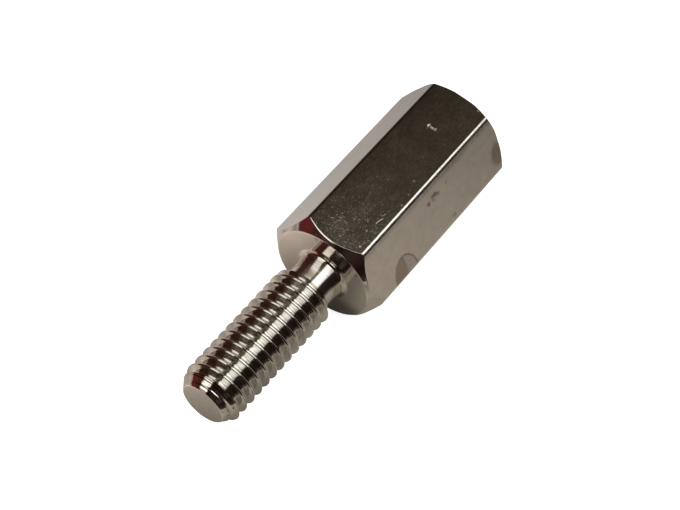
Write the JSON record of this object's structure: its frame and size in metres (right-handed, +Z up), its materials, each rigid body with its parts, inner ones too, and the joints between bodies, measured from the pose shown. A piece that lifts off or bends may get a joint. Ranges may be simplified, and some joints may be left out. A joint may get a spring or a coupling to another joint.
{
  "type": "hex standoff",
  "caption": "Male-female hex standoff: a hexagonal spacer body with a threaded stud and relief neck on one end and a blind tapped hole in the other.",
  "frame": {"origin": "centre of the shoulder face around the stud, on the part's axis", "axes": "+X along the axis out of the tapped end, so the stud points to -X; +Z up, square to the top flat; the part lies on the opposite flat; +Y completes the right-handed frame, towards one long edge"},
  "size_m": [0.0362, 0.0114, 0.01],
  "materials": {
    "nickel_plate": "bright nickel plate over brass, warm grey mirror, with fine specks and dried water marks"
  },
  "bodies": {
    "root": {"hex_standoff": "nickel_plate"}
  },
  "joints": []
}
